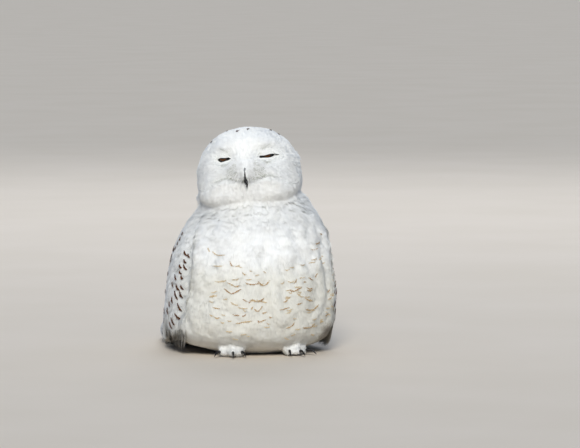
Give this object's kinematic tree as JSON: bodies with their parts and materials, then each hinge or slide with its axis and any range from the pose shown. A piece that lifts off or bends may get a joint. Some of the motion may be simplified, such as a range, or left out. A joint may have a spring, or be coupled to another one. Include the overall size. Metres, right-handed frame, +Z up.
{
  "type": "snowy owl",
  "caption": "Life-size snowy owl dozing on the ground, head turned a little, eyes narrowed to slits, wings folded over the flanks and tail laid out behind.",
  "frame": {"origin": "on the ground, under the middle of the bounding box in X and Y", "axes": "+Z up, the breast faces -Y and the tail points along +Y, +X is the bird's own left"},
  "size_m": [0.2624, 0.416, 0.3418],
  "materials": {
    "plumage": "soft matt white feathers with a few buff and dark brown marks",
    "flight_feathers": "smooth matt white flight feathers with dark brown marks",
    "horn": "polished black horn",
    "eye": "wet dark amber eye"
  },
  "bodies": {
    "root": {"head": "plumage", "neck": "plumage", "trunk": "plumage", "wing_right": "plumage", "wing_left": "plumage", "primaries_right": "flight_feathers", "primaries_left": "flight_feathers", "tail": "flight_feathers", "leg_right": "plumage", "leg_left": "plumage", "foot_right": "plumage", "foot_left": "plumage", "claw_right_inner": "horn", "claw_right_middle": "horn", "claw_right_outer": "horn", "claw_right_hind": "horn", "claw_left_inner": "horn", "claw_left_middle": "horn", "claw_left_outer": "horn", "claw_left_hind": "horn", "eye_right": "eye", "eye_left": "eye", "bill_upper": "horn", "bill_lower": "horn"}
  },
  "joints": []
}
